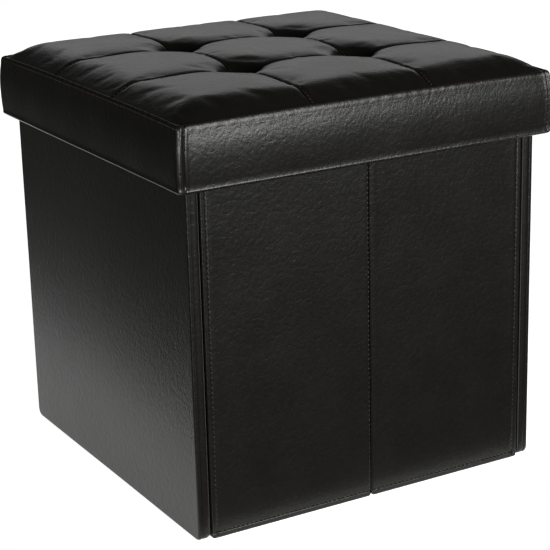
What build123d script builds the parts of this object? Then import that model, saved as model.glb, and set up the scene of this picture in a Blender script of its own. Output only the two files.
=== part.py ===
from build123d import *
import os

# Collapsible cube ottoman: a padded lift-off lid over four walls.  The left and right walls are
# whole boards; the front and back walls are each two half panels joined at a centre crease, which
# folds inwards.  Millimetres, +Z up, the front faces -Y, the origin is under the middle of the box.

os.makedirs("parts", exist_ok=True)

# ---- Driving dimensions: box ----------------------------------------------------------------
box_width = 355.0            # over the two side walls
box_depth = 355.0            # over the front and back walls
wall_height = 345.0
side_wall = 11.0             # finished thickness of a side wall
half_panel = 10.0            # finished thickness of a front or back half panel
corner_gap = 2.0             # fold groove between a side wall and a half panel
crease_gap = 1.0             # between two half panels at the centre crease
side_corner = 8.0            # rounded lower corners of a side wall
panel_corner = 3.0

# ---- Driving dimensions: lid ----------------------------------------------------------------
lid_size = 380.0             # square, over the skirt
skirt_bottom = 315.0
seam_height = 373.0          # perimeter seam between skirt and seat panel
seam_inset = 4.0             # how far the seam lies in from the skirt's outer face
crown_height = 390.0         # top of the tufted seat
lid_corner = 8.0             # rounded upright corners of the skirt
skirt_edge = 3.0             # skirt rounding over towards the seam
seat_corner = 14.0
seat_edge = 12.0
board_thick = 9.0            # lid board
rail_thick = 7.0
lid_rest_gap = 0.4           # lid lining over the wall tops

# ---- Driving dimensions: materials and small parts ------------------------------------------
leather = 1.2
lining = 0.6
hem_rise = 14.0              # leather turned up inside a rail
tuft_pitch = 120.0           # spacing of the four tufts
dent_floor_radius = 4.0
dent_top_radius = 26.0
dent_floor = 362.4           # height of the seat surface at a tuft
tie_radius = 1.0
tie_clearance = 0.2
knot_radius = 3.0
knot_thick = 1.0
washer_radius = 10.0
washer_thick = 1.6
washer_seat = 3.0            # depth of the routed seat under the lid board
nail_radius = 0.7
nail_length = 25.0
nail_clearance = 0.05
nails_per_rail = 4
staple_wire = 0.8
staple_crown = 10.0
staple_leg = 5.0
staples_per_rail = 7
staple_pitch = 48.0
staple_height = 323.0
tape_leg = 14.0              # each leg of a corner hinge tape
tape_thick = 0.5
crease_web = 0.6
crease_web_depth = 6.0
sheet_base = 1.5             # underside of the bottom sheet over the floor
sheet_thick = 0.8
insert_thick = 3.0
insert_clearance = 3.0
tab_width = 20.0
tab_length = 60.0
tab_thick = 0.8

# ---- Worked-out sizes -----------------------------------------------------------------------
side_inner = box_width / 2 - side_wall
panel_inner = box_depth / 2 - half_panel
panel_width = side_inner - corner_gap - crease_gap / 2
panel_centre = (crease_gap + panel_width) / 2
lining_ceiling = wall_height + lid_rest_gap
board_bottom = lining_ceiling + lining
board_top = board_bottom + board_thick
rail_outer = lid_size / 2 - leather
rail_inner = rail_outer - rail_thick
rail_bottom = skirt_bottom + leather
hem_top = skirt_bottom + hem_rise
seat_half = lid_size / 2 - seam_inset


def write(piece, name):
    """Label a finished piece and write it as a STEP file of its own."""
    piece.part.label = name
    export_step(piece.part, f"parts/{name}.step")


def face_plane(side, distance):
    """Upright plane that faces outwards on one side, its local Y upwards."""
    directions = {
        "front": ((1, 0, 0), (0, -1, 0)),
        "right": ((0, 1, 0), (1, 0, 0)),
        "back": ((-1, 0, 0), (0, 1, 0)),
        "left": ((0, -1, 0), (-1, 0, 0)),
    }
    along, outwards = directions[side]
    return Plane(origin=Vector(*outwards) * distance, x_dir=along, z_dir=outwards)


def upright_sheet(plane, centre, width, corner, inset, first, last):
    """Rounded upright sheet, from depth first to depth last behind the plane."""
    with BuildPart() as sheet:
        with BuildSketch(plane.offset(-first)):
            with Locations((centre, wall_height / 2)):
                RectangleRounded(width - 2 * inset, wall_height - 2 * inset, corner - inset)
        extrude(amount=first - last)
    return sheet


# ---- Side walls: outer leather, an edge band sewn round the board, the board, a lining ------
for side in ("left", "right"):
    plane = face_plane(side, box_width / 2)
    board_back = side_wall - lining

    cover = upright_sheet(plane, 0, box_depth, side_corner, 0, 0, leather)
    write(cover, f"{side}_cover")

    board = upright_sheet(plane, 0, box_depth, side_corner, leather, leather, board_back)
    write(board, f"{side}_board")

    with BuildPart() as edge_band:
        with BuildSketch(plane.offset(-leather)):
            with Locations((0, wall_height / 2)):
                RectangleRounded(box_depth, wall_height, side_corner)
                RectangleRounded(
                    box_depth - 2 * leather,
                    wall_height - 2 * leather,
                    side_corner - leather,
                    mode=Mode.SUBTRACT,
                )
        extrude(amount=leather - board_back)
    write(edge_band, f"{side}_edge_band")

    wall_lining = upright_sheet(plane, 0, box_depth, side_corner, leather, board_back, side_wall)
    write(wall_lining, f"{side}_lining")

# ---- Front and back half panels: a leather tray over a board, with a lining behind ----------
for side in ("front", "back"):
    plane = face_plane(side, box_depth / 2)
    board_back = half_panel - lining
    for hand in ("left", "right"):
        towards_right = (side == "front") == (hand == "right")
        centre = panel_centre if towards_right else -panel_centre

        with BuildPart() as cover:
            with BuildSketch(plane):
                with Locations((centre, wall_height / 2)):
                    RectangleRounded(panel_width, wall_height, panel_corner)
            extrude(amount=-board_back)
            with BuildSketch(plane.offset(-leather)):
                with Locations((centre, wall_height / 2)):
                    RectangleRounded(
                        panel_width - 2 * leather,
                        wall_height - 2 * leather,
                        panel_corner - leather,
                    )
            extrude(amount=leather - board_back, mode=Mode.SUBTRACT)
        write(cover, f"{side}_{hand}_cover")

        board = upright_sheet(
            plane, centre, panel_width, panel_corner, leather, leather, board_back
        )
        write(board, f"{side}_{hand}_board")

        panel_lining = upright_sheet(
            plane, centre, panel_width, panel_corner, leather, board_back, half_panel
        )
        write(panel_lining, f"{side}_{hand}_lining")

    # Seam allowance of the two leathers, standing in the crease behind the stitch line.
    with BuildPart() as web:
        with BuildSketch(plane):
            with Locations((0, wall_height / 2)):
                Rectangle(crease_web, wall_height - 2 * panel_corner)
        extrude(amount=-crease_web_depth)
    write(web, f"{side}_crease_web")

# ---- Corner hinge tapes: an L of woven tape glued inside each upright corner ----------------
for side, front_sign in (("front", -1), ("back", 1)):
    for hand, right_sign in (("left", -1), ("right", 1)):
        with BuildPart() as tape:
            with BuildSketch(Plane.XY.offset(side_corner)):
                with BuildLine():
                    Polyline(
                        (right_sign * side_inner, front_sign * panel_inner),
                        (right_sign * side_inner, front_sign * (panel_inner - tape_leg)),
                        (right_sign * (side_inner - tape_thick), front_sign * (panel_inner - tape_leg)),
                        (
                            right_sign * (side_inner - tape_thick),
                            front_sign * (panel_inner - tape_thick),
                        ),
                        (right_sign * (side_inner - tape_leg), front_sign * (panel_inner - tape_thick)),
                        (right_sign * (side_inner - tape_leg), front_sign * panel_inner),
                        close=True,
                    )
                make_face()
            extrude(amount=wall_height - 2 * side_corner)
        write(tape, f"hinge_tape_{side}_{hand}")

# ---- Bottom: a sewn sheet between the side walls, and a stiff insert that lies on it --------
with BuildPart() as bottom_sheet:
    with BuildSketch(Plane.XY.offset(sheet_base)):
        Rectangle(2 * side_inner, 2 * panel_inner)
    extrude(amount=sheet_thick)
    upright_corners = bottom_sheet.edges().filter_by(Axis.Z)
    chamfer(upright_corners, 2 * corner_gap)
write(bottom_sheet, "bottom_sheet")

insert_base = sheet_base + sheet_thick
with BuildPart() as base_insert:
    with BuildSketch(Plane.XY.offset(insert_base)):
        RectangleRounded(
            2 * (side_inner - insert_clearance),
            2 * (panel_inner - insert_clearance),
            side_corner,
        )
    extrude(amount=insert_thick)
write(base_insert, "base_insert")

with BuildPart() as pull_tab:
    with BuildSketch(Plane.XY.offset(insert_base + insert_thick)):
        with Locations((side_inner - insert_clearance - tab_length / 2, 0)):
            RectangleRounded(tab_length, tab_width, tab_width / 4)
    extrude(amount=tab_thick)
write(pull_tab, "pull_tab")

# ---- Lid fasteners: wire nails through the board, staples through the turned-up hem ---------
nail_inset = rail_outer - rail_thick / 2
nail_pitch = 2 * rail_inner / nails_per_rail


def nail_set(radius, length):
    """Upright pins from the board's top face down into all four rails."""
    with BuildPart() as pins:
        with BuildSketch(Plane.XY.offset(board_top)):
            with GridLocations(nail_pitch, 2 * nail_inset, nails_per_rail, 2):
                Circle(radius)
            with GridLocations(2 * nail_inset, nail_pitch, 2, nails_per_rail):
                Circle(radius)
        extrude(amount=-length)
    return pins


rail_nails = nail_set(nail_radius, nail_length)
write(rail_nails, "rail_nails")
nail_holes = nail_set(nail_radius + nail_clearance, nail_length + nail_clearance)


def staple_set(wire, crown):
    """U-shaped staples round the inside of the skirt, crowns on the hem, legs in the rails."""
    with BuildPart() as staples:
        for side in ("front", "right", "back", "left"):
            hem_face = face_plane(side, rail_inner - leather)
            with BuildSketch(hem_face.offset(-staple_wire)):
                with Locations((0, staple_height)):
                    with GridLocations(staple_pitch, 0, staples_per_rail, 1):
                        Rectangle(crown, wire)
            extrude(amount=staple_wire)
            with BuildSketch(hem_face):
                with Locations((0, staple_height)):
                    with GridLocations(staple_pitch, 0, staples_per_rail, 1):
                        with GridLocations(staple_crown - staple_wire, 0, 2, 1):
                            Rectangle(wire, wire)
            extrude(amount=leather + staple_leg)
    return staples


lid_staples = staple_set(staple_wire, staple_crown)
write(lid_staples, "lid_staples")
staple_holes = staple_set(staple_wire + nail_clearance, staple_crown)

# ---- Lid board with routed washer seats and tie holes ---------------------------------------
with BuildPart() as lid_board:
    with BuildSketch(Plane.XY.offset(board_bottom)):
        RectangleRounded(2 * rail_outer, 2 * rail_outer, lid_corner - leather)
    extrude(amount=board_thick)
    with Locations(Plane.XY.offset(board_bottom).rotated((180, 0, 0))):
        with GridLocations(tuft_pitch, tuft_pitch, 2, 2):
            CounterBoreHole(
                radius=2.5 * tie_radius,
                counter_bore_radius=washer_radius + 1,
                counter_bore_depth=washer_seat,
            )
    add(nail_holes.part, mode=Mode.SUBTRACT)
write(lid_board, "lid_board")

# ---- Skirt rails under the board's edge, front and back running through ---------------------
for side in ("front", "back"):
    with BuildPart() as rail:
        with BuildSketch(face_plane(side, rail_outer)):
            with Locations((0, (rail_bottom + board_bottom) / 2)):
                Rectangle(2 * rail_outer, board_bottom - rail_bottom)
        extrude(amount=-rail_thick)
        outer_edges = rail.edges().filter_by(Axis.Z).group_by(Axis.Y)[0 if side == "front" else -1]
        fillet(outer_edges, lid_corner - leather)
        add(nail_holes.part, mode=Mode.SUBTRACT)
        add(staple_holes.part, mode=Mode.SUBTRACT)
    write(rail, f"lid_rail_{side}")

for side in ("left", "right"):
    with BuildPart() as rail:
        with BuildSketch(face_plane(side, rail_outer)):
            with Locations((0, (rail_bottom + board_bottom) / 2)):
                Rectangle(2 * rail_inner, board_bottom - rail_bottom)
        extrude(amount=-rail_thick)
        add(nail_holes.part, mode=Mode.SUBTRACT)
        add(staple_holes.part, mode=Mode.SUBTRACT)
    write(rail, f"lid_rail_{side}")


def rounded_block(half, bottom, top, corner, edge):
    """Square block with rounded upright corners and a rounded top edge."""
    with BuildPart() as block:
        with BuildSketch(Plane.XY.offset(bottom)):
            RectangleRounded(2 * half, 2 * half, corner)
        extrude(amount=top - bottom)
        fillet(block.faces().sort_by(Axis.Z)[-1].edges(), edge)
    return block


# ---- Skirt leather: turned up inside the rails, rounded over the foam to the seam ------------
skirt_outside = rounded_block(lid_size / 2, skirt_bottom, seam_height, lid_corner, skirt_edge)
skirt_inside = rounded_block(
    rail_outer, rail_bottom, seam_height - leather, lid_corner - leather, skirt_edge - leather
)
with BuildPart() as band:
    add(skirt_outside.part)
    add(skirt_inside.part, mode=Mode.SUBTRACT)
    with BuildSketch(Plane.XY.offset(seam_height - leather)):
        RectangleRounded(2 * seat_half, 2 * seat_half, seat_corner)
    extrude(amount=leather, mode=Mode.SUBTRACT)
    with BuildSketch(Plane.XY.offset(skirt_bottom)):
        Rectangle(2 * (rail_inner - leather), 2 * (rail_inner - leather))
    extrude(amount=leather, mode=Mode.SUBTRACT)
    with BuildSketch(Plane.XY.offset(rail_bottom)):
        Rectangle(2 * rail_inner, 2 * rail_inner)
        Rectangle(2 * (rail_inner - leather), 2 * (rail_inner - leather), mode=Mode.SUBTRACT)
    extrude(amount=hem_top - rail_bottom)
    add(staple_holes.part, mode=Mode.SUBTRACT)

for side in ("front", "right", "back", "left"):
    outwards = face_plane(side, 0).z_dir
    along = face_plane(side, 0).x_dir
    with BuildPart() as skirt_cover:
        add(band.part)
        split(bisect_by=Plane(origin=(0, 0, 0), z_dir=outwards + along), keep=Keep.TOP)
        split(bisect_by=Plane(origin=(0, 0, 0), z_dir=outwards - along), keep=Keep.TOP)
    write(skirt_cover, f"skirt_cover_{side}")

# ---- Seat: the foam on the board, and the tufted leather panel sewn to the skirt ------------
seam_plane = seam_height - leather
seat_outside = rounded_block(seat_half, seam_plane, crown_height, seat_corner, seat_edge)
seat_inside = rounded_block(
    seat_half - leather,
    seam_plane,
    crown_height - leather,
    seat_corner - leather,
    seat_edge - leather,
)


def tuft_dents(extra, mode):
    """Four tapered dents in the part being built, each side moved out by extra."""
    with Locations(Plane.XY.offset(dent_floor - extra)):
        with GridLocations(tuft_pitch, tuft_pitch, 2, 2):
            Cone(
                dent_floor_radius + extra,
                dent_top_radius + extra,
                crown_height - dent_floor + extra,
                align=(Align.CENTER, Align.CENTER, Align.MIN),
                mode=mode,
            )


def tuft_holes(radius, bottom, top):
    """Four upright tie holes in the part being built."""
    with BuildSketch(Plane.XY.offset(bottom)) as circles:
        with GridLocations(tuft_pitch, tuft_pitch, 2, 2):
            Circle(radius)
    extrude(circles.sketch, amount=top - bottom, mode=Mode.SUBTRACT)


foam_base = rounded_block(
    rail_outer, board_top, seam_plane, lid_corner - leather, skirt_edge - leather
)
with BuildPart() as seat_foam:
    add(foam_base.part)
    add(seat_inside.part)
    tuft_dents(leather, Mode.SUBTRACT)
    tuft_holes(tie_radius + tie_clearance, board_top, dent_floor)
write(seat_foam, "seat_foam")

with BuildPart() as seat_cover:
    add(seat_outside.part)
    add(seat_inside.part, mode=Mode.SUBTRACT)
    tuft_dents(leather, Mode.ADD)
    tuft_dents(0, Mode.SUBTRACT)
    tuft_holes(tie_radius + tie_clearance, dent_floor - leather, dent_floor)
write(seat_cover, "seat_cover")

# ---- Tufting: a washer in each routed seat, and a knotted tie up to the seat surface --------
washer_top = board_bottom + washer_seat
with BuildPart() as tie_washers:
    with BuildSketch(Plane.XY.offset(washer_top - washer_thick)):
        with GridLocations(tuft_pitch, tuft_pitch, 2, 2):
            Circle(washer_radius)
            Circle(tie_radius + tie_clearance, mode=Mode.SUBTRACT)
    extrude(amount=washer_thick)
write(tie_washers, "tie_washers")

lower_knot_top = washer_top - washer_thick
with BuildPart() as tuft_ties:
    with BuildSketch(Plane.XY.offset(lower_knot_top - knot_thick)):
        with GridLocations(tuft_pitch, tuft_pitch, 2, 2):
            Circle(knot_radius)
    extrude(amount=knot_thick)
    with BuildSketch(Plane.XY.offset(lower_knot_top)):
        with GridLocations(tuft_pitch, tuft_pitch, 2, 2):
            Circle(tie_radius)
    extrude(amount=dent_floor - lower_knot_top)
    with BuildSketch(Plane.XY.offset(dent_floor)):
        with GridLocations(tuft_pitch, tuft_pitch, 2, 2):
            Circle(knot_radius)
    extrude(amount=knot_thick)
write(tuft_ties, "tuft_ties")

# ---- Lid lining: an open tray under the board and down the rails to the turned-up hem --------
with BuildPart() as lid_lining:
    with BuildSketch(Plane.XY.offset(hem_top)):
        Rectangle(2 * rail_inner, 2 * rail_inner)
    extrude(amount=board_bottom - hem_top)
    with BuildSketch(Plane.XY.offset(hem_top)):
        Rectangle(2 * (rail_inner - lining), 2 * (rail_inner - lining))
    extrude(amount=lining_ceiling - hem_top, mode=Mode.SUBTRACT)
write(lid_lining, "lid_lining")
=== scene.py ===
import math

import bmesh
import bpy
import numpy as np
from mathutils import Matrix, Vector


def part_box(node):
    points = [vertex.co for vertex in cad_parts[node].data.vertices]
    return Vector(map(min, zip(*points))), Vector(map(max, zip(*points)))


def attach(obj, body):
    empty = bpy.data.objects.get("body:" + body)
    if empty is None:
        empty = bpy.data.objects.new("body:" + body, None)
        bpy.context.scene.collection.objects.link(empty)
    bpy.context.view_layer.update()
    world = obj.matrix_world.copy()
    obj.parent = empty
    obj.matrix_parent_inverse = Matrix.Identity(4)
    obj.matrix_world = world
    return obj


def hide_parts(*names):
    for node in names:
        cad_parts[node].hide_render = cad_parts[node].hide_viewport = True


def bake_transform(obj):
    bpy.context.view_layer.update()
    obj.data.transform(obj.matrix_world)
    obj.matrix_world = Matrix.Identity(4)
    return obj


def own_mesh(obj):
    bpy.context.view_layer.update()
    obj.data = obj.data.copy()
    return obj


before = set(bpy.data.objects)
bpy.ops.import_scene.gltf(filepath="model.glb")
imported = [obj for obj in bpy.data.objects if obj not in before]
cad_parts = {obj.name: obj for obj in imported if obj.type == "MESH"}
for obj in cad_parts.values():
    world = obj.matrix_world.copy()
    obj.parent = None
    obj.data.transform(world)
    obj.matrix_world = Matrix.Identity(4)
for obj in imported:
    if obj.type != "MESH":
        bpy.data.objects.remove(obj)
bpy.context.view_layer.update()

# ---- Wall boards ----------------------------------------------------------------------------
# Two whole side boards and four half boards of raw fibreboard, sawn square and hidden inside
# their leather jackets. They are the frame's own nodes, so only their finish is made here.
MM = 0.001


class Wire:
    """A shader socket on which arithmetic works: each operator adds one Math node."""

    def __init__(self, paint, socket):
        self.paint = paint
        self.socket = socket

    def maths(self, operation, *values):
        return self.paint.node("ShaderNodeMath", {"operation": operation}, dict(enumerate(values)))

    def __add__(self, other):
        return self.maths("ADD", self, other)

    def __radd__(self, other):
        return self.maths("ADD", other, self)

    def __sub__(self, other):
        return self.maths("SUBTRACT", self, other)

    def __rsub__(self, other):
        return self.maths("SUBTRACT", other, self)

    def __mul__(self, other):
        return self.maths("MULTIPLY", self, other)

    def __rmul__(self, other):
        return self.maths("MULTIPLY", other, self)

    def __abs__(self):
        return self.maths("ABSOLUTE", self)

    def between(self, low, high):
        """0 below low and 1 above high, smooth between them."""
        settings = {"interpolation_type": "SMOOTHSTEP"}
        return self.paint.node("ShaderNodeMapRange", settings, {0: self, 1: low, 2: high})


class Paint:
    """One material's node tree, on Object coordinates in millimetres."""

    def __init__(self, name):
        self.material = bpy.data.materials.new(name)
        self.material.use_nodes = True
        self.tree = self.material.node_tree
        self.tree.nodes.clear()
        metres = self.node("ShaderNodeTexCoord", {}, {}, "Object")
        self.place = self.node("ShaderNodeVectorMath", {"operation": "SCALE"}, {0: metres, "Scale": 1000})

    def node(self, kind, settings, sockets, output=0):
        """Adds a node: settings first, then each socket's value or link; returns one output."""
        made = self.tree.nodes.new(kind)
        for name, value in settings.items():
            setattr(made, name, value)
        for name, value in sockets.items():
            if isinstance(value, Wire):
                self.tree.links.new(value.socket, made.inputs[name])
            else:
                made.inputs[name].default_value = value
        return Wire(self, made.outputs[output])

    def noise(self, size, detail=2.0, place=None, output="Fac"):
        """Noise with features about size millimetres across."""
        sockets = {"Vector": place or self.place, "Scale": 1 / size, "Detail": detail}
        return self.node("ShaderNodeTexNoise", {}, sockets, output)

    def cells(self, size):
        """Distance pattern of random cells about size millimetres across."""
        sockets = {"Vector": self.place, "Scale": 1 / size}
        return self.node("ShaderNodeTexVoronoi", {"feature": "F1"}, sockets, "Distance")

    def warped(self, amount, size):
        """The place, pushed about by coloured noise, so that lines in a pattern wander."""
        push = self.noise(size, 2.0, output="Color")
        settings = {"operation": "MULTIPLY_ADD"}
        return self.node("ShaderNodeVectorMath", settings, {0: push, 1: (amount,) * 3, 2: self.place})

    def mix(self, factor, first, second):
        """Colour mix from first to second as factor goes from 0 to 1."""
        sockets = {0: factor, 6: first, 7: second}
        return self.node("ShaderNodeMix", {"data_type": "RGBA"}, sockets, 2)

    def bump(self, height):
        """Normal from a height in millimetres."""
        sockets = {"Height": height, "Distance": MM, "Strength": 1.0}
        return self.node("ShaderNodeBump", {}, sockets, "Normal")

    def finish(self, **sockets):
        """Principled surface with these sockets, wired to the output; underscores are spaces."""
        named = {name.replace("_", " "): value for name, value in sockets.items()}
        surface = self.node("ShaderNodeBsdfPrincipled", {}, named)
        end = self.tree.nodes.new("ShaderNodeOutputMaterial")
        self.tree.links.new(surface.socket, end.inputs["Surface"])
        return self.material


def colour(red, green, blue):
    """An opaque colour for a socket, from linear values."""
    return (red, green, blue, 1.0)


def fibreboard(name):
    """Pressed wood dust: fine pale and dark specks over a soft cloudy tan."""
    paint = Paint(name)
    specks = paint.noise(0.5, 3.0)
    cloud = paint.noise(40, 2.0)
    tan = paint.mix(cloud, colour(0.36, 0.25, 0.15), colour(0.46, 0.33, 0.20))
    base = paint.mix(specks.between(0.45, 0.75), tan, colour(0.24, 0.16, 0.09))
    return paint.finish(Base_Color=base, Roughness=0.75 + 0.15 * specks, Normal=paint.bump(0.05 * specks))


def refinish(nodes, material):
    """Gives frame nodes a finish, in place of the plain one they came with."""
    for node in nodes:
        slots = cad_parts[node].data.materials
        slots.clear()
        slots.append(material)


wall_sides = ("left", "right")
half_names = [f"{side}_{hand}" for side in ("front", "back") for hand in ("left", "right")]
board_finish = fibreboard("fibreboard")
refinish([f"{name}_board" for name in (*wall_sides, *half_names)], board_finish)


# ---- Side wall jackets ----------------------------------------------------------------------
# Faux leather: a thin polyurethane film on knit. One sheet covers a side board's outer face and
# turns over its edges, where it meets a narrow edge band in a ridge and a sewn groove.
def faux_leather(name):
    """Near-black espresso film: fine grain, soft crumples, hair-thin wrinkles and a cloudy shine."""
    paint = Paint(name)
    grain = paint.noise(1.1, 1.0)
    crumple = paint.noise(3.2, 4.0).between(0.22, 0.78)
    wrinkles = abs(paint.noise(11, 3.0, paint.warped(6.0, 16.0)) - 0.5).between(0.0, 0.07)
    cloud = paint.noise(38, 4.0)
    height = 0.012 * grain + 0.08 * crumple + 0.045 * wrinkles
    tone = 0.75 * cloud + 0.25 * crumple
    base = paint.mix(tone, colour(0.0027, 0.0024, 0.0021), colour(0.0045, 0.0041, 0.0036))
    shine = 0.27 + 0.06 * cloud + 0.03 * crumple
    gloss = {"Specular_IOR_Level": 0.20, "Specular_Tint": colour(0.98, 1.0, 0.94)}
    return paint.finish(Base_Color=base, Roughness=shine, Normal=paint.bump(height), **gloss)


def add_piece(name, points, faces, material, sharp=40):
    """A new object from an (n, 3) array of points in metres and lists of corner numbers."""
    mesh = bpy.data.meshes.new(name)
    mesh.from_pydata(np.asarray(points, float).tolist(), [], [list(map(int, f)) for f in faces])
    mesh.materials.append(material)
    mesh.shade_smooth()
    mesh.set_sharp_from_angle(angle=math.radians(sharp))
    piece = bpy.data.objects.new(name, mesh)
    bpy.context.scene.collection.objects.link(piece)
    return piece


def face_outwards(piece):
    """Turns a closed shell's faces outwards."""
    shell = bmesh.new()
    shell.from_mesh(piece.data)
    bmesh.ops.recalc_face_normals(shell, faces=shell.faces)
    shell.to_mesh(piece.data)
    shell.free()
    return piece


def quads(rows, columns, close=False):
    """Corner numbers of a rows by columns grid's quads; close joins its last column to its first."""
    across = np.arange(columns if close else columns - 1)
    row, column = np.meshgrid(np.arange(rows - 1), across, indexing="ij")
    after = (column + 1) % columns
    start, above = row * columns, (row + 1) * columns
    corners = [start + column, start + after, above + after, above + column]
    return np.stack(corners, -1).reshape(-1, 4)


def stations(length, fine, band, coarse):
    """Places from 0 to length: fine steps within band of either end, coarse ones between."""
    ends = np.arange(0, band, fine)
    middle = np.linspace(band, length - band, max(2, round((length - 2 * band) / coarse)))
    return np.concatenate([ends, middle, length - ends[::-1]])


def rounded(across, up, width, height, corner):
    """Carries the square -1..1 onto a rectangle with round corners: in each corner's patch
    (a, b), a becomes a times the root of 1 - b squared / 2, and b likewise."""
    x, y = across * width / 2, up * height / 2
    a = np.clip((np.abs(x) - width / 2 + corner) / corner, 0, 1)
    b = np.clip((np.abs(y) - height / 2 + corner) / corner, 0, 1)
    rounded_x = width / 2 - corner + corner * a * np.sqrt(1 - b * b / 2)
    rounded_y = height / 2 - corner + corner * b * np.sqrt(1 - a * a / 2)
    return (
        np.sign(x) * np.where(a > 0, rounded_x, np.abs(x)),
        np.sign(y) * np.where(b > 0, rounded_y, np.abs(y)),
    )


def placed(side, distance, across, up, depth):
    """Points given across, up and in from one side's outer face, carried to the row frame."""
    turned = {"front": (1, 0, 0, -1), "right": (0, 1, 1, 0), "back": (-1, 0, 0, 1), "left": (0, -1, -1, 0)}
    along_x, along_y, out_x, out_y = turned[side]
    out = distance - depth
    return np.stack([across * along_x + out * out_x, across * along_y + out * out_y, up + 0 * out], -1)


def rim_numbers(rows, columns):
    """Corner numbers round the outside of a rows by columns grid, once."""
    number = np.arange(rows * columns).reshape(rows, columns)
    return np.concatenate([number[:-1, 0], number[-1, :-1], number[:0:-1, -1], number[0, :0:-1]])


def jacket(name, side, distance, centre, width, height, corner, turn, depth, skin, relief, material):
    """A leather tray: a face on a grid raised by relief(x, z), a turn of quarter-circle section
    round its edges, straight sides down to depth, and a wall of skin thickness back inside."""
    x_mm = stations(width - 2 * turn, 0.5, 9, 8)
    z_mm = stations(height - 2 * turn, 0.5, 9, 8)
    across = 2 * x_mm / x_mm[-1] - 1
    up = 2 * z_mm / z_mm[-1] - 1
    grid_across, grid_up = np.meshgrid(across, up, indexing="ij")
    x, z = rounded(grid_across, grid_up, width - 2 * turn, height - 2 * turn, max(corner - turn, 0.01))
    raised = relief(x + width / 2, z + height / 2)
    face = placed(side, distance, centre + x, height / 2 + z, -raised)
    rows, columns = x.shape
    rim = rim_numbers(rows, columns)
    rim_across, rim_up = grid_across.ravel()[rim], grid_up.ravel()[rim]
    angle = np.radians([18, 36, 54, 72, 90])
    section = [(turn * (1 - math.sin(a)), turn * (1 - math.cos(a))) for a in angle]
    section += [(0, depth - skin / 2), (skin / 2, depth), (skin, depth - skin / 2), (skin, skin)]
    rings = []
    rim_relief = raised.ravel()[rim]
    for order, (inset, in_by) in enumerate(section):
        ring_x, ring_z = rounded(
            rim_across, rim_up, width - 2 * inset, height - 2 * inset, max(corner - inset, 0.01)
        )
        fade = max(0, 1 - (order + 1) / 5)
        rings.append(placed(side, distance, centre + ring_x, height / 2 + ring_z, in_by - fade * rim_relief))
    points = np.concatenate([face.reshape(-1, 3), *rings])
    start = rows * columns
    ring_count = len(rim)
    new_numbers = start + np.arange(len(section) * ring_count).reshape(-1, ring_count)
    ring_numbers = np.concatenate([rim[None], new_numbers])
    sides = ring_numbers.ravel()[quads(len(section) + 1, ring_count, True)]
    faces = [*quads(rows, columns), *sides, ring_numbers[-1]]
    return face_outwards(add_piece(name, points * MM, faces, material))


def mm_box(node):
    """Lowest and highest corners of a frame node, in millimetres."""
    low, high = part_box(node)
    return np.array(low) * 1000, np.array(high) * 1000


leather = faux_leather("espresso_leather")
wall_low, wall_high = mm_box("left_edge_band")
wall_height = wall_high[2]
wall_depth = wall_high[1] - wall_low[1]
wall_out = -mm_box("left_cover")[0][0]
skin = mm_box("left_cover")[1][0] + wall_out
wall_corner = 8.0
face_wrap = 4.0
edge_turn = 2.4


def drum(x, z):
    """A flat face with the faint long waves of leather glued over board."""
    return 0.18 * np.sin(x / 41 + 0.6 * np.sin(z / 57)) * np.sin(z / 63 + 1.1)


def ring_piece(name, side, distance, width, height, corner, section, material):
    """A closed (inset, depth) section carried round a rectangle with round corners."""
    level = 2 * stations(width, 0.8, 9, 12)[:-1] / width - 1
    upright = 2 * stations(height, 0.8, 9, 12)[:-1] / height - 1
    across = np.concatenate([level, 1 + 0 * upright, -level, -1 + 0 * upright])
    up = np.concatenate([-1 + 0 * level, upright, 1 + 0 * level, -upright])
    rings = []
    for inset, depth in section:
        x, z = rounded(across, up, width - 2 * inset, height - 2 * inset, corner - inset)
        rings.append(placed(side, distance, x, height / 2 + z, depth + 0 * x))
    loops = np.array(rings + rings[:1])
    faces = quads(len(section) + 1, len(across), True) % (len(section) * len(across))
    return face_outwards(add_piece(name, loops[:-1].reshape(-1, 3) * MM, faces, material))


band_start = face_wrap
band_end = mm_box("left_edge_band")[1][0] + wall_out
band_angle = np.linspace(0, math.pi, 9)
band_section = [
    (0.9 - 0.9 * math.sin(a), (band_start + band_end) / 2 - (band_end - band_start) / 2 * math.cos(a))
    for a in band_angle
]
band_section += [(skin, band_end), (skin, band_start)]

for side in wall_sides:
    cover = jacket(
        f"{side}_wall_leather", side, wall_out, 0, wall_depth, wall_height, wall_corner,
        edge_turn, face_wrap, skin, drum, leather,
    )
    band = ring_piece(
        f"{side}_wall_band", side, wall_out, wall_depth, wall_height, wall_corner, band_section, leather
    )
    for piece, node in ((cover, f"{side}_cover"), (band, f"{side}_edge_band")):
        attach(piece, f"{side}_wall")
        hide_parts(node)

# ---- Half panel jackets ---------------------------------------------------------------------
# Each half of the front and back walls is a board in its own leather bag. A sewn groove runs
# beside the corner edge, and the bag's foot is a stitched hem; the two bags are sewn together
# at the centre crease, which is the hinge.
half_low, half_high = mm_box("front_left_cover")
half_width = half_high[0] - half_low[0]
half_height = half_high[2]
half_out = -half_low[1]
half_depth = half_high[1] - half_low[1]
half_centre = (half_low[0] + half_high[0]) / 2
half_corner = 3.0
half_turn = 1.8
hem_height = 6.0
edge_groove = 5.0


def dip(distance, at, wide):
    """A smooth groove or ridge of height 1 at one distance."""
    return np.exp(-(((distance - at) / wide) ** 2))


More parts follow.
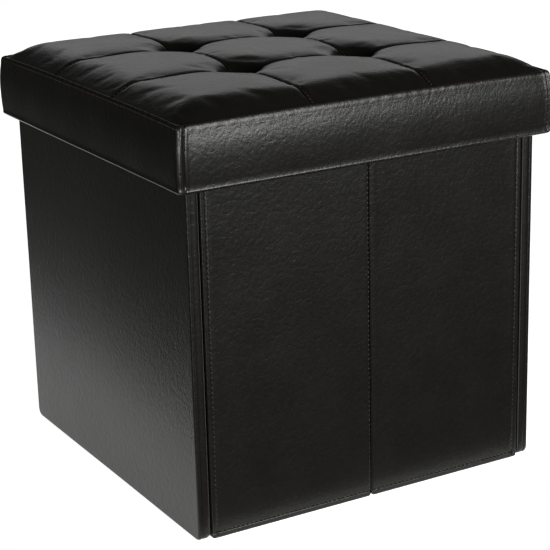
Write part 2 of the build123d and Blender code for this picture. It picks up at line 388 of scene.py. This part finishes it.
def half_relief(flip):
    """Relief of a half panel; flip puts the corner edge on the low-x side."""

    def relief(x, z):
        from_corner = x if flip else half_width - x
        from_crease = half_width - from_corner
        shape = drum(x + 70 * flip, z)
        shape += 0.22 * dip(from_corner, 2.6, 1.6) - 1.2 * dip(from_corner, edge_groove, 0.7)
        shape += 0.2 * dip(from_corner, edge_groove + 4, 2.6)
        shape += 0.2 * dip(z, hem_height / 2, 2.4) - 0.9 * dip(z, hem_height, 0.6)
        shape += 0.12 * dip(from_crease, 4.5, 3)
        return shape

    return relief


for name in half_names:
    side, hand = name.split("_")
    at_low_side = (side == "front") == (hand == "left")
    piece = jacket(
        f"{name}_leather", side, half_out, half_centre if at_low_side else -half_centre,
        half_width, half_height, half_corner, half_turn, half_depth, skin,
        half_relief(at_low_side), leather,
    )
    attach(piece, f"{name}_panel")
    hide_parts(f"{name}_cover")


# ---- Wall linings ---------------------------------------------------------------------------
# Black spunbond polypropylene glued to the inside of each board, over the turned-in leather.
# They are flat, so the frame's own nodes stay and only get their finish.
def nonwoven(name):
    """Matt black spunbond: a close pattern of heat-pressed dots among loose flat fibres."""
    paint = Paint(name)
    dots = paint.cells(1.1).between(0.1, 0.35)
    fibres = paint.noise(0.35, 3.0)
    base = paint.mix(fibres, colour(0.010, 0.010, 0.011), colour(0.024, 0.024, 0.026))
    return paint.finish(Base_Color=base, Roughness=0.82, Normal=paint.bump(0.12 * dots + 0.05 * fibres))


spunbond = nonwoven("black_spunbond")
refinish([f"{name}_lining" for name in (*wall_sides, *half_names)], spunbond)


# ---- Wall stitching -------------------------------------------------------------------------
# Black thread holds each half panel's hem and corner groove, and closes the centre crease over
# the two leathers' seam allowance, which stands behind it as a thin web.
def thread(name, tint):
    """Bonded thread: a faint twist of lighter plies over one colour."""
    paint = Paint(name)
    plies = paint.noise(0.25, 2.0)
    lighter = [1.6 * part for part in tint]
    return paint.finish(Base_Color=paint.mix(plies, colour(*tint), colour(*lighter)), Roughness=0.5)


def stitches(name, path, outwards, material, pitch=4.5, run=3.3, radius=0.36):
    """Thread showing along a seam: every pitch, one six-sided bulge of run length whose ends
    dive into the leather. path and outwards are (n, 3) arrays of places and surface normals."""
    reach = np.concatenate([[0], np.cumsum(np.linalg.norm(np.diff(path, axis=0), axis=1))])
    share = np.linspace(-0.5, 0.5, 5)
    at = np.arange(pitch / 2, reach[-1] - pitch / 3, pitch)[:, None] + run * share
    centre = np.stack([np.interp(at, reach, path[:, axis]) for axis in range(3)], -1)
    normal = np.stack([np.interp(at, reach, outwards[:, axis]) for axis in range(3)], -1)
    normal = normal / np.linalg.norm(normal, axis=-1, keepdims=True)
    across = np.cross(np.gradient(centre, axis=1), normal)
    across = across / np.linalg.norm(across, axis=-1, keepdims=True)
    centre = centre + normal * (radius * (0.5 - 3.2 * share ** 2))[:, None]
    thickness = (radius * np.sqrt(1.05 - 4 * share ** 2))[:, None, None]
    turn = np.radians(np.arange(30, 390, 60))[:, None]
    round_thread = np.cos(turn) * across[:, :, None] + np.sin(turn) * normal[:, :, None]
    loops = centre[:, :, None] + thickness * round_thread
    first = 30 * np.arange(len(at))[:, None, None]
    sides = (first + quads(5, 6, True)).reshape(-1, 4)
    caps = (first[:, 0] + np.arange(6), first[:, 0] + np.arange(29, 23, -1))
    faces = [*sides, *caps[0], *caps[1]]
    return face_outwards(add_piece(name, loops.reshape(-1, 3) * MM, faces, material, 60))


black_thread = thread("black_thread", (0.006, 0.006, 0.006))
refinish([f"{side}_crease_web" for side in ("front", "back")], leather)
for name in half_names:
    side, hand = name.split("_")
    at_low_side = (side == "front") == (hand == "left")
    centre = half_centre if at_low_side else -half_centre
    along_hem = np.linspace(half_width - 3, edge_groove, 60)
    up_corner = np.linspace(hem_height + 1, half_height - 4, 120)
    from_corner = np.concatenate([along_hem, np.full(120, edge_groove)])
    height = np.concatenate([np.full(60, hem_height), up_corner])
    routes = {"hem": (from_corner, height)}
    if hand == "left":
        routes["crease"] = (np.full(160, half_width - 1.4), np.linspace(5, half_height - 5, 160))
    for route, (from_corner, height) in routes.items():
        x = from_corner if at_low_side else half_width - from_corner
        raised = half_relief(at_low_side)(x, height) - (0.4 if route == "crease" else 0)
        path = placed(side, half_out, centre + x - half_width / 2, height, -raised)
        outwards = placed(side, half_out + 1, x, height, 0) - placed(side, half_out, x, height, 0)
        row = stitches(f"{name}_{route}_thread", path, outwards, black_thread)
        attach(row, f"{name}_panel")


# ---- Corner hinge tapes ---------------------------------------------------------------------
# Woven polyester tape glued inside each upright corner, one leg on the side wall and one on the
# half panel: it is the hinge. The back right tape is cut in two, because the frame is open there.
def woven(name):
    """Black ribbed tape: rows of weft across the length, over a faint mottle."""
    paint = Paint(name)
    ribs = paint.node("ShaderNodeTexWave", {"bands_direction": "Z"}, {"Vector": paint.place, "Scale": 0.35})
    base = paint.mix(ribs, colour(0.008, 0.008, 0.009), colour(0.022, 0.022, 0.024))
    return paint.finish(Base_Color=base, Roughness=0.7, Normal=paint.bump(0.15 * ribs))


def prism(name, section, low, high, material, rows=12):
    """A closed (x, y) section carried straight up from low to high."""
    section = np.array(section, float)
    heights = np.linspace(low, high, rows)
    count = len(section)
    points = np.concatenate([np.column_stack([section, np.full(count, z)]) for z in heights])
    caps = [np.arange(count), np.arange(count)[::-1] + count * (rows - 1)]
    return face_outwards(add_piece(name, points * MM, [*quads(rows, count, True), *caps], material))


tape_finish = woven("black_tape")
side_face = mm_box("left_lining")[1][0]
panel_face = mm_box("front_left_lining")[1][1]
tape_low, tape_high = mm_box("hinge_tape_front_left")
tape_leg = tape_high[0] - tape_low[0]
tape_skin = 0.5
tape_legs = {
    "wall": [(0, 0.6), (tape_skin, 0.6), (tape_skin, tape_leg), (0, tape_leg)],
    "panel": [(0.6, 0), (tape_leg, 0), (tape_leg, tape_skin), (0.6, tape_skin)],
    "whole": [
        (0, 0), (tape_leg, 0), (tape_leg, tape_skin),
        (tape_skin, tape_skin), (tape_skin, tape_leg), (0, tape_leg),
    ],
}
for name in half_names:
    side, hand = name.split("_")
    turned = np.array([1 if hand == "left" else -1, 1 if side == "front" else -1])
    corner = np.array([side_face, panel_face]) * turned
    riders = {"wall": f"{hand}_wall", "panel": f"{name}_panel"} if name == "back_right" else {"whole": None}
    for leg, body in riders.items():
        section = corner + np.array(tape_legs[leg]) * turned
        tape = prism(f"hinge_tape_{name}_{leg}", section, tape_low[2], tape_high[2], tape_finish)
        if body:
            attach(tape, body)
        else:
            start = (*(corner + (0, 1.5) * turned) * MM, 0)
            end = (*(corner + (1.5, 0) * turned) * MM, 0)
            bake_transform(tape)
        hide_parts(f"hinge_tape_{name}")


# ---- Bottom: sheet, insert and pull tab ------------------------------------------------------
# A spunbond sheet sewn between the walls' feet, and a greyboard insert that lies loose on it,
# lifted by a woven tab. The insert comes out before folding; here all three ride on the left wall.
def slab(name, across, up, width, depth, corner, low, top, ease, material):
    """A piece with round corners: a grid at height top(x, y), an eased edge, a flat underside."""
    grid_across, grid_up = np.meshgrid(across, up, indexing="ij")
    x, y = rounded(grid_across, grid_up, width - 2 * ease, depth - 2 * ease, max(corner - ease, 0.01))
    rim = rim_numbers(*x.shape)
    rings = []
    for inset, share in [(0.3, 0.7), (0, 0)]:
        ring_x, ring_y = rounded(
            grid_across.ravel()[rim], grid_up.ravel()[rim],
            width - 2 * inset * ease, depth - 2 * inset * ease, max(corner - inset * ease, 0.01),
        )
        upper = top(ring_x, ring_y) - (1 - share) * ease
        rings += [np.stack([ring_x, ring_y, upper], -1)]
    rings += [np.stack([ring_x, ring_y, low + 0 * ring_x], -1)]
    count = len(rim)
    numbers = np.concatenate([rim[None], x.size + np.arange(3 * count).reshape(3, count)])
    points = np.concatenate([np.stack([x, y, top(x, y)], -1).reshape(-1, 3), *rings])
    faces = [*quads(*x.shape), *numbers.ravel()[quads(4, count, True)], numbers[-1]]
    return face_outwards(add_piece(name, points * MM, faces, material))


def rippled(level):
    """A top at this level with faint long ripples, as a function of place."""

    def top(x, y):
        return level - 0.12 + 0.1 * np.sin(x / 23) * np.sin(y / 31 + 1)

    return top


even = np.linspace(-1, 1, 61)
bottom_parts = {
    "bottom_sheet": (0.5, 0.25, spunbond, "nonwoven_lining"),
    "base_insert": (8.0, 0.8, spunbond, "greyboard"),
    "pull_tab": (5.0, 0.2, tape_finish, "woven_tape"),
}
for node, (corner, ease, material, slot) in bottom_parts.items():
    low, high = mm_box(node)
    middle_x = (low[0] + high[0]) / 2
    piece = slab(
        f"{node}_cloth", even, even, high[0] - low[0], high[1] - low[1], corner,
        low[2], rippled(high[2]), ease, material,
    )
    piece.data.transform(Matrix.Translation((middle_x * MM, 0, 0)))
    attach(piece, "left_wall")
    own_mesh(piece)
    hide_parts(node)
sheet_low, sheet_high = mm_box("bottom_sheet")
tab_low, tab_high = mm_box("pull_tab")


# ---- Lid frame ------------------------------------------------------------------------------
# A fibreboard top on four rails, nailed from above. Twine ties come through it to a washer in a
# routed seat, spunbond lines the inside, and wire staples hold the leather's turned-up hem.
def bright_wire(name):
    """Drawn steel wire with faint grey streaks."""
    paint = Paint(name)
    streak = paint.noise(0.6, 2.0)
    base = paint.mix(streak, colour(0.46, 0.47, 0.49), colour(0.62, 0.63, 0.65))
    return paint.finish(Base_Color=base, Metallic=1.0, Roughness=0.28 + 0.15 * streak)


def moulded(name, tint):
    """Moulded plastic with a light orange-peel skin."""
    paint = Paint(name)
    return paint.finish(Base_Color=colour(*tint), Roughness=0.45, Normal=paint.bump(0.03 * paint.noise(1.2)))


rail_sides = ("front", "right", "back", "left")
steel = bright_wire("steel_wire")
refinish(["lid_board", *(f"lid_rail_{side}" for side in rail_sides)], board_finish)
refinish(["rail_nails", "lid_staples"], steel)
refinish(["lid_lining"], spunbond)
refinish(["tie_washers"], moulded("washer_plastic", (0.60, 0.58, 0.54)))
refinish(["tuft_ties"], thread("twine", (0.02, 0.017, 0.015)))

# ---- Skirt leather --------------------------------------------------------------------------
# The lid's band: leather over the rails, turned up inside to a stapled hem and rolled over the
# foam to the perimeter seam. Two long pieces wrap the corners and are sewn to two short ones.
skirt_low, skirt_high = mm_box("skirt_cover_front")
lid_half = -skirt_low[1]
skirt_foot = skirt_low[2]
seam_height = skirt_high[2]
rail_back = lid_half + mm_box("lid_rail_front")[1][1]
hem_top = mm_box("lid_lining")[0][2]
seam_inset = lid_half + mm_box("seat_cover")[0][0]
skirt_corner = 5.0
skirt_roll = 7.0
foot_radius = 3.6
corner_seam = 5.5
skirt_fullness = 0.5
skirt_lean = 1.9
lift_start = skirt_foot + 20


def seam_lift(along):
    """Rise of the perimeter seam over its mean: 0.9 mm up mid-side, 0.9 mm down at a corner."""
    return 0.9 - 1.8 * np.abs(along) ** 3


belly_foot = skirt_foot + foot_radius
belly_top = seam_height - skirt_roll


def belly(height):
    """Inset of the skirt's outer face, full at mid-height and leaning in towards the seam."""
    from_middle = 2 * np.clip((height - belly_foot) / (belly_top - belly_foot), 0, 1) - 1
    return -skirt_fullness + np.where(from_middle < 0, 1.0, skirt_lean) * from_middle ** 2


def skirt_section():
    """Closed (inset, height) section: up the inside hem, under the rail, out over a shallow
    belly, then a quarter ellipse in to the seam, and back down inside one skin thickness in."""
    face = [(float(belly(height)), height) for height in np.linspace(belly_foot, belly_top, 12)]
    face_end = face[-1][0]
    roll = [
        (
            face_end + (seam_inset - face_end) * (1 - math.cos(a)),
            belly_top + skirt_roll * math.sin(a),
        )
        for a in np.radians([15, 30, 45, 57, 67, 75, 82, 88])
    ]
    foot = [
        (foot_radius * (1 - math.cos(a)), belly_foot - foot_radius * math.sin(a))
        for a in np.radians([90, 72, 54, 36, 18])
    ]
    hem = [
        (rail_back + skin, hem_top),
        (rail_back + skin, skirt_foot + 1),
        (rail_back + 0.4, skirt_foot),
    ]
    tuck = [(seam_inset + 0.7, seam_height - 0.8), (seam_inset + 0.9, seam_height - 5)]
    lining_side = [
        (seam_inset - 0.2, seam_height - 5),
        (seam_inset - 0.6, seam_height - 1.6),
        (skin + 1, seam_height - 3),
        (skin, seam_height - 8),
        (skin, skirt_foot + skin),
        (rail_back, skirt_foot + skin),
        (rail_back, hem_top),
    ]
    return hem + foot + face + roll + tuck + lining_side


def lid_point(across, up, inset, height):
    """A point on the lid's square outline drawn in by inset, with corners that tighten inwards."""
    side = 2 * (lid_half - inset)
    x, y = rounded(across, up, side, side, np.maximum(skirt_corner - 0.3 * inset, 3))
    return np.stack([x, y, height + 0 * x], -1)


def band_piece(name, across, up, material):
    """The skirt section carried along part of the lid's outline, dipping at its two sewn ends."""
    along = np.where(np.abs(up) >= 1, across, up)
    step = np.hypot(np.diff(across), np.diff(up)) * lid_half
    travelled = np.concatenate([[0], np.cumsum(step)])
    from_seam = np.minimum(travelled, travelled[-1] - travelled)
    dipped = 1.1 * dip(from_seam, 0, 1.0) - 0.35 * dip(from_seam, 3.0, 1.5)
    pucker = np.sin(travelled / 1.9 + 2 * np.sin(travelled / 13)) * (0.6 + 0.4 * np.sin(travelled / 29))
    rows = []
    for inset, height in skirt_section():
        outside = inset < seam_inset + 0.1 and height > skirt_foot
        near_top = max(0, 1 - (seam_height - height) / 9)
        seam_dip = dipped * min(1, max(0, height - skirt_foot) / 8)
        upper = max(0, (height - lift_start) / (seam_height - lift_start))
        lift = seam_lift(along) * upper ** 2
        slack = 0.16 * np.sin(travelled / 31 + height / 23) * np.sin(travelled / 17 - height / 37)
        moved = inset + outside * (seam_dip + 0.22 * pucker * near_top + slack)
        rows.append(lid_point(across, up, moved, height + lift))
    points = np.array(rows)
    count, columns = points.shape[:2]
    faces = quads(count + 1, columns) % (count * columns)
    ring = np.arange(count) * columns
    return face_outwards(
        add_piece(name, points.reshape(-1, 3) * MM, [*faces, ring, ring[::-1] + columns - 1], material)
    )


side_stations = stations(2 * lid_half, 0.9, 14, 2.5) / lid_half - 1
seam_at = 1 - corner_seam / lid_half
middle_part = side_stations[np.abs(side_stations) < seam_at]
middle_part = np.concatenate([[-seam_at], middle_part, [seam_at]])
corner_part = np.concatenate([[seam_at], side_stations[side_stations > seam_at][:-1]])
edge = np.ones(len(middle_part))
long_across = np.concatenate([-corner_part, -np.ones(len(side_stations)), -corner_part[::-1]])
long_up = np.concatenate([-np.ones(len(corner_part)), side_stations, np.ones(len(corner_part))])
espresso_thread = thread("espresso_thread", (0.046, 0.023, 0.017))
skirt_paths = {
    "front": (middle_part, -edge),
    "back": (-middle_part, edge),
    "left": (long_across, long_up),
    "right": (-long_across, -long_up),
}
for side, (across, up) in skirt_paths.items():
    piece = band_piece(f"skirt_leather_{side}", across, up, leather)
    along = np.where(np.abs(up) >= 1, across, up)
    thread_at = seam_height - 3.2 + seam_lift(along)
    path = lid_point(across, up, belly(seam_height) + 0.5 + 0 * along, thread_at)
    outwards = lid_point(across, up, -1 + 0 * along, thread_at) - path
    row = stitches(f"skirt_thread_{side}", path, outwards, espresso_thread, 4.2, 2.8, 0.3)
    for made in (piece, row):
        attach(made, "lid")
    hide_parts(f"skirt_cover_{side}")
up_seam = np.linspace(skirt_foot + 5, seam_height - 5, 40)
for side in ("front", "back"):
    for end in (-1, 1):
        across = end * (seam_at - 2.4 / lid_half) + 0 * up_seam
        facing = (-1 if side == "front" else 1) + 0 * up_seam
        path = lid_point(across, facing, belly(up_seam), up_seam)
        outwards = lid_point(across, facing, belly(up_seam) - 1, up_seam) - path
        name = f"corner_thread_{side}_{'left' if end < 0 else 'right'}"
        row = stitches(name, path, outwards, espresso_thread, 4.2, 2.8, 0.3)
        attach(row, "lid")

# ---- Seat cushion ---------------------------------------------------------------------------
# A block of polyurethane foam on the lid board, a few millimetres inside the leather, which the
# twine pulls down to the board at four tufts. The seat's sewn and swollen shape is worked out
# here, because the foam follows it.
tuft = 60.0
dent_floor = mm_box("tuft_ties")[1][2] - 1.0
seat_half = lid_half - seam_inset - 0.3
crown = mm_box("seat_cover")[1][2] - 1.5
border_width = 30.0
border_rise = 12.5
dent_radius = 14.0


def seat_height(x, y):
    """Height of the sewn seat: a sloping border that eases into a low crown, shallow swells between
    the grid seams, and a steep-walled dent at each tuft that drags its two seams down."""
    to_x, to_y = seat_half - np.abs(x), seat_half - np.abs(y)
    from_edge = np.clip(-6 * np.log(np.exp(-to_x / 6) + np.exp(-to_y / 6)), 0, None)
    along = np.where(np.abs(x) > np.abs(y), y, x) / seat_half
    rolled = np.clip(from_edge / border_width, 0, 1)
    height = seam_height - 1.0 + seam_lift(along) * (1 - rolled)
    height = height + border_rise * np.sin(math.pi / 2 * rolled)
    height = height + (crown - seam_height - border_rise) * (1 - np.exp(-((from_edge / 75) ** 2)))
    off_x, off_y = np.abs(np.abs(x) - tuft), np.abs(np.abs(y) - tuft)
    near = np.hypot(off_x, off_y)
    to_seam = np.minimum(off_x, off_y)
    drag = np.exp(-((near / 30) ** 2))
    height = height - (0.9 + 5.5 * drag) * rolled ** 0.5 * np.exp(-to_seam / 10) - 1.7 * dip(to_seam, 0, 1.7)
    dent = 1 / (1 + (near / dent_radius) ** 4.5)
    return height - np.clip(height - dent_floor, 0, None) * dent


def seat_stations():
    """Places across the seat: close together at the border and beside each seam."""
    near_seam = np.arange(-7.2, 7.3, 0.8)
    inner = np.linspace(-tuft + 9, tuft - 9, 36)
    outer = np.linspace(tuft + 9, seat_half - 9, 34)
    border = seat_half - np.array([8, 6.5, 5, 4, 3, 2, 1, 0.4, 0])
    half = np.concatenate([tuft + near_seam, outer, border])
    return np.unique(np.round(np.concatenate([-half, inner, half]), 4))


def swollen(step, frames, cap):
    """Vertical swelling of the seat, from a cloth simulation of the panel on an even grid: it is
    held at the perimeter, the tufts and, more loosely, the seams, blown up from below for
    this many frames, and may move no further than cap. Returns the grid's places and swelling."""
    places = np.arange(-seat_half, seat_half + step / 2, 2 * seat_half / round(2 * seat_half / step))
    x, y = np.meshgrid(places, places, indexing="ij")
    start = seat_height(x, y)
    faces = quads(len(places), len(places))[:, ::-1]
    panel = add_piece("seat_cloth", np.stack([x, y, start], -1).reshape(-1, 3) * MM, faces, leather)
    off_x, off_y = np.abs(np.abs(x) - tuft), np.abs(np.abs(y) - tuft)
    at_edge = np.maximum(np.abs(x), np.abs(y)) > seat_half - 1.5 * step
    at_tuft = np.hypot(off_x, off_y) < dent_radius
    at_seam = np.minimum(off_x, off_y) < step
    held = np.where(at_edge | at_tuft, 1.0, np.where(at_seam, 0.35, 0.0)).ravel()
    pins = panel.vertex_groups.new(name="pins")
    for weight in (1.0, 0.35):
        pins.add(np.flatnonzero(held == weight).tolist(), weight, "REPLACE")
    cloth = panel.modifiers.new("swelling", "CLOTH")
    cloth.settings.vertex_group_mass = "pins"
    cloth.settings.use_pressure = True
    cloth.settings.uniform_pressure_force = 2.0
    cloth.settings.shrink_min = -0.006
    cloth.settings.effector_weights.gravity = 0.0
    scene = bpy.context.scene
    for frame_number in range(1, frames + 1):
        scene.frame_set(frame_number)
    evaluated = panel.evaluated_get(bpy.context.evaluated_depsgraph_get())
    moved = np.empty(3 * x.size)
    evaluated.data.vertices.foreach_get("co", moved)
    swelling = moved.reshape(-1, 3)[:, 2].reshape(x.shape) / MM - start
    bpy.data.objects.remove(panel, do_unlink=True)
    scene.frame_set(1)
    return places, cap * np.tanh(swelling / cap)


def sampled(places, field, x, y):
    """The field at places (x, y), from the four grid values round each."""
    across = np.clip((x - places[0]) / (places[1] - places[0]), 0, len(places) - 1.001)
    up = np.clip((y - places[0]) / (places[1] - places[0]), 0, len(places) - 1.001)
    i, j = across.astype(int), up.astype(int)
    a, b = across - i, up - j
    near = field[i, j] * (1 - b) + field[i, j + 1] * b
    far = field[i + 1, j] * (1 - b) + field[i + 1, j + 1] * b
    return near * (1 - a) + far * a


cloth_places, swelling = swollen(4.0, 20, 1.8)


def seat_surface(x, y):
    """The finished seat: its sewn height and the simulated swelling."""
    return seat_height(x, y) + sampled(cloth_places, swelling, x, y)


def foam(name):
    """Pale open-cell polyurethane foam."""
    paint = Paint(name)
    pores = paint.cells(1.3)
    base = paint.mix(pores, colour(0.52, 0.48, 0.36), colour(0.70, 0.66, 0.52))
    return paint.finish(Base_Color=base, Roughness=0.95, Normal=paint.bump(0.5 * pores))


board_top = mm_box("lid_board")[1][2]
foam_half = mm_box("lid_rail_right")[1][0] - 1.8
foam_corner = 7.0
foam_edge = 4.0


def foam_top(x, y):
    """Under the leather, pressed down to the board at the tufts."""
    return np.maximum(seat_surface(x, y) - 3.5, board_top + 1)


cushion = slab(
    "seat_cushion", seat_stations() / seat_half, seat_stations() / seat_half,
    2 * foam_half, 2 * foam_half, foam_corner, board_top, foam_top, foam_edge, foam("cushion_foam"),
)
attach(cushion, "lid")
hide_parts("seat_foam")

# ---- Seat leather ---------------------------------------------------------------------------
# One faux leather panel, sewn in a three by three grid and to the skirt all round. It lies on
# the foam, and twine draws the four inner crossings down in steep dents.
seat_corner = 4.0
places = seat_stations() / seat_half
grid_x, grid_y = np.meshgrid(places, places, indexing="ij")
seat_x, seat_y = rounded(grid_x, grid_y, 2 * seat_half, 2 * seat_half, seat_corner)
seat_points = np.stack([seat_x, seat_y, seat_surface(seat_x, seat_y)], -1).reshape(-1, 3)
seat_faces = quads(len(places), len(places))[:, ::-1]
seat = add_piece("seat_leather", seat_points * MM, seat_faces, leather, sharp=180)
thickness = seat.modifiers.new("leather thickness", "SOLIDIFY")
thickness.thickness = skin * MM
thickness.offset = -1
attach(seat, "lid")
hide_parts("seat_cover")

# ---- Seat stitching -------------------------------------------------------------------------
# Espresso thread in one row beside each of the four grid seams, from border to border. The rows
# follow the leather down into the tufts.
beside_seam = 1.5
along_seam = np.linspace(2 - seat_half, seat_half - 2, 240)
for name, tuft_line in (("near", -tuft), ("far", tuft)):
    for across in (True, False):
        beside = tuft_line + beside_seam + 0 * along_seam
        x, y = (along_seam, beside) if across else (beside, along_seam)
        path = np.stack([x, y, seat_surface(x, y)], -1)
        outwards = np.tile((0.0, 0.0, 1.0), (len(path), 1))
        direction = "across" if across else "deep"
        row = stitches(
            f"seat_thread_{direction}_{name}", path, outwards, espresso_thread, 4.2, 2.8, 0.22
        )
        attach(row, "lid")

# ---- Studio ---------------------------------------------------------------------------------
# A pale floor board, lit from within, in a dim room. A broad light behind is mirrored in the
# seat, a narrow one low beside the near corner edges it, and a wide one fills the front.
def pale_floor():
    """White acrylic that glows evenly and takes a little of the room's light."""
    paint = Paint("pale_floor")
    white = colour(0.8, 0.8, 0.8)
    return paint.finish(Base_Color=white, Roughness=0.7, Emission_Color=white, Emission_Strength=1.15)


floor_corners = [(-0.315, -0.2, 0), (2.0, -0.2, 0), (2.0, 2.2, 0), (-0.315, 2.2, 0)]
floor = add_piece("studio_floor", floor_corners, [(0, 1, 2, 3)], pale_floor())


def softbox(name, width, height, power, place, aim):
    """An area light of this size and power, at place and turned to aim."""
    lamp = bpy.data.lights.new(name, "AREA")
    lamp.shape = "RECTANGLE"
    lamp.size = width
    lamp.size_y = height
    lamp.energy = power
    light = bpy.data.objects.new(name, lamp)
    light.location = place
    light.rotation_euler = (Vector(aim) - Vector(place)).to_track_quat("-Z", "Y").to_euler()
    bpy.context.scene.collection.objects.link(light)


softbox("back_wall", 2.4, 1.4, 7.5, (1.5, 2.6, 1.35), (0, 0, 0.38))
softbox("corner_light", 0.13, 0.5, 58, (-2.1, -1.45, 0.3), (0, 0, 0.34))
softbox("front_fill", 1.8, 0.8, 140, (0.5, -2.7, 0.8), (0, 0, 0.3))

world = bpy.data.worlds.new("studio")
bpy.context.scene.world = world
world.use_nodes = True
sky = world.node_tree
sky.nodes.clear()
seen = sky.nodes.new("ShaderNodeLightPath")
white = sky.nodes.new("ShaderNodeBackground")
white.inputs["Color"].default_value = colour(1, 1, 1)
white.inputs["Strength"].default_value = 1.0
dim = sky.nodes.new("ShaderNodeBackground")
dim.inputs["Color"].default_value = colour(0.9, 0.95, 0.9)
dim.inputs["Strength"].default_value = 0.05
choose = sky.nodes.new("ShaderNodeMixShader")
output = sky.nodes.new("ShaderNodeOutputWorld")
sky.links.new(seen.outputs["Is Camera Ray"], choose.inputs[0])
sky.links.new(dim.outputs[0], choose.inputs[1])
sky.links.new(white.outputs[0], choose.inputs[2])
sky.links.new(choose.outputs[0], output.inputs["Surface"])

lens = bpy.data.cameras.new("camera")
lens.sensor_width = 36
lens.lens = 116.1
camera = bpy.data.objects.new("camera", lens)
bpy.context.scene.collection.objects.link(camera)
tilt, heading, roll = math.radians(17.70), math.radians(29.73), math.radians(-1.46)
reach = math.cos(tilt)
forward = Vector((math.sin(heading) * reach, math.cos(heading) * reach, -math.sin(tilt)))
level = Vector((math.cos(heading), -math.sin(heading), 0))
upward = level.cross(forward)
right = level * math.cos(roll) + upward * math.sin(roll)
top = upward * math.cos(roll) - level * math.sin(roll)
turned = Matrix((right, top, -forward)).transposed().to_4x4()
camera.matrix_world = Matrix.Translation((-0.806, -1.421, 0.686)) @ turned
bpy.context.scene.camera = camera
bpy.context.scene.view_settings.view_transform = "Standard"
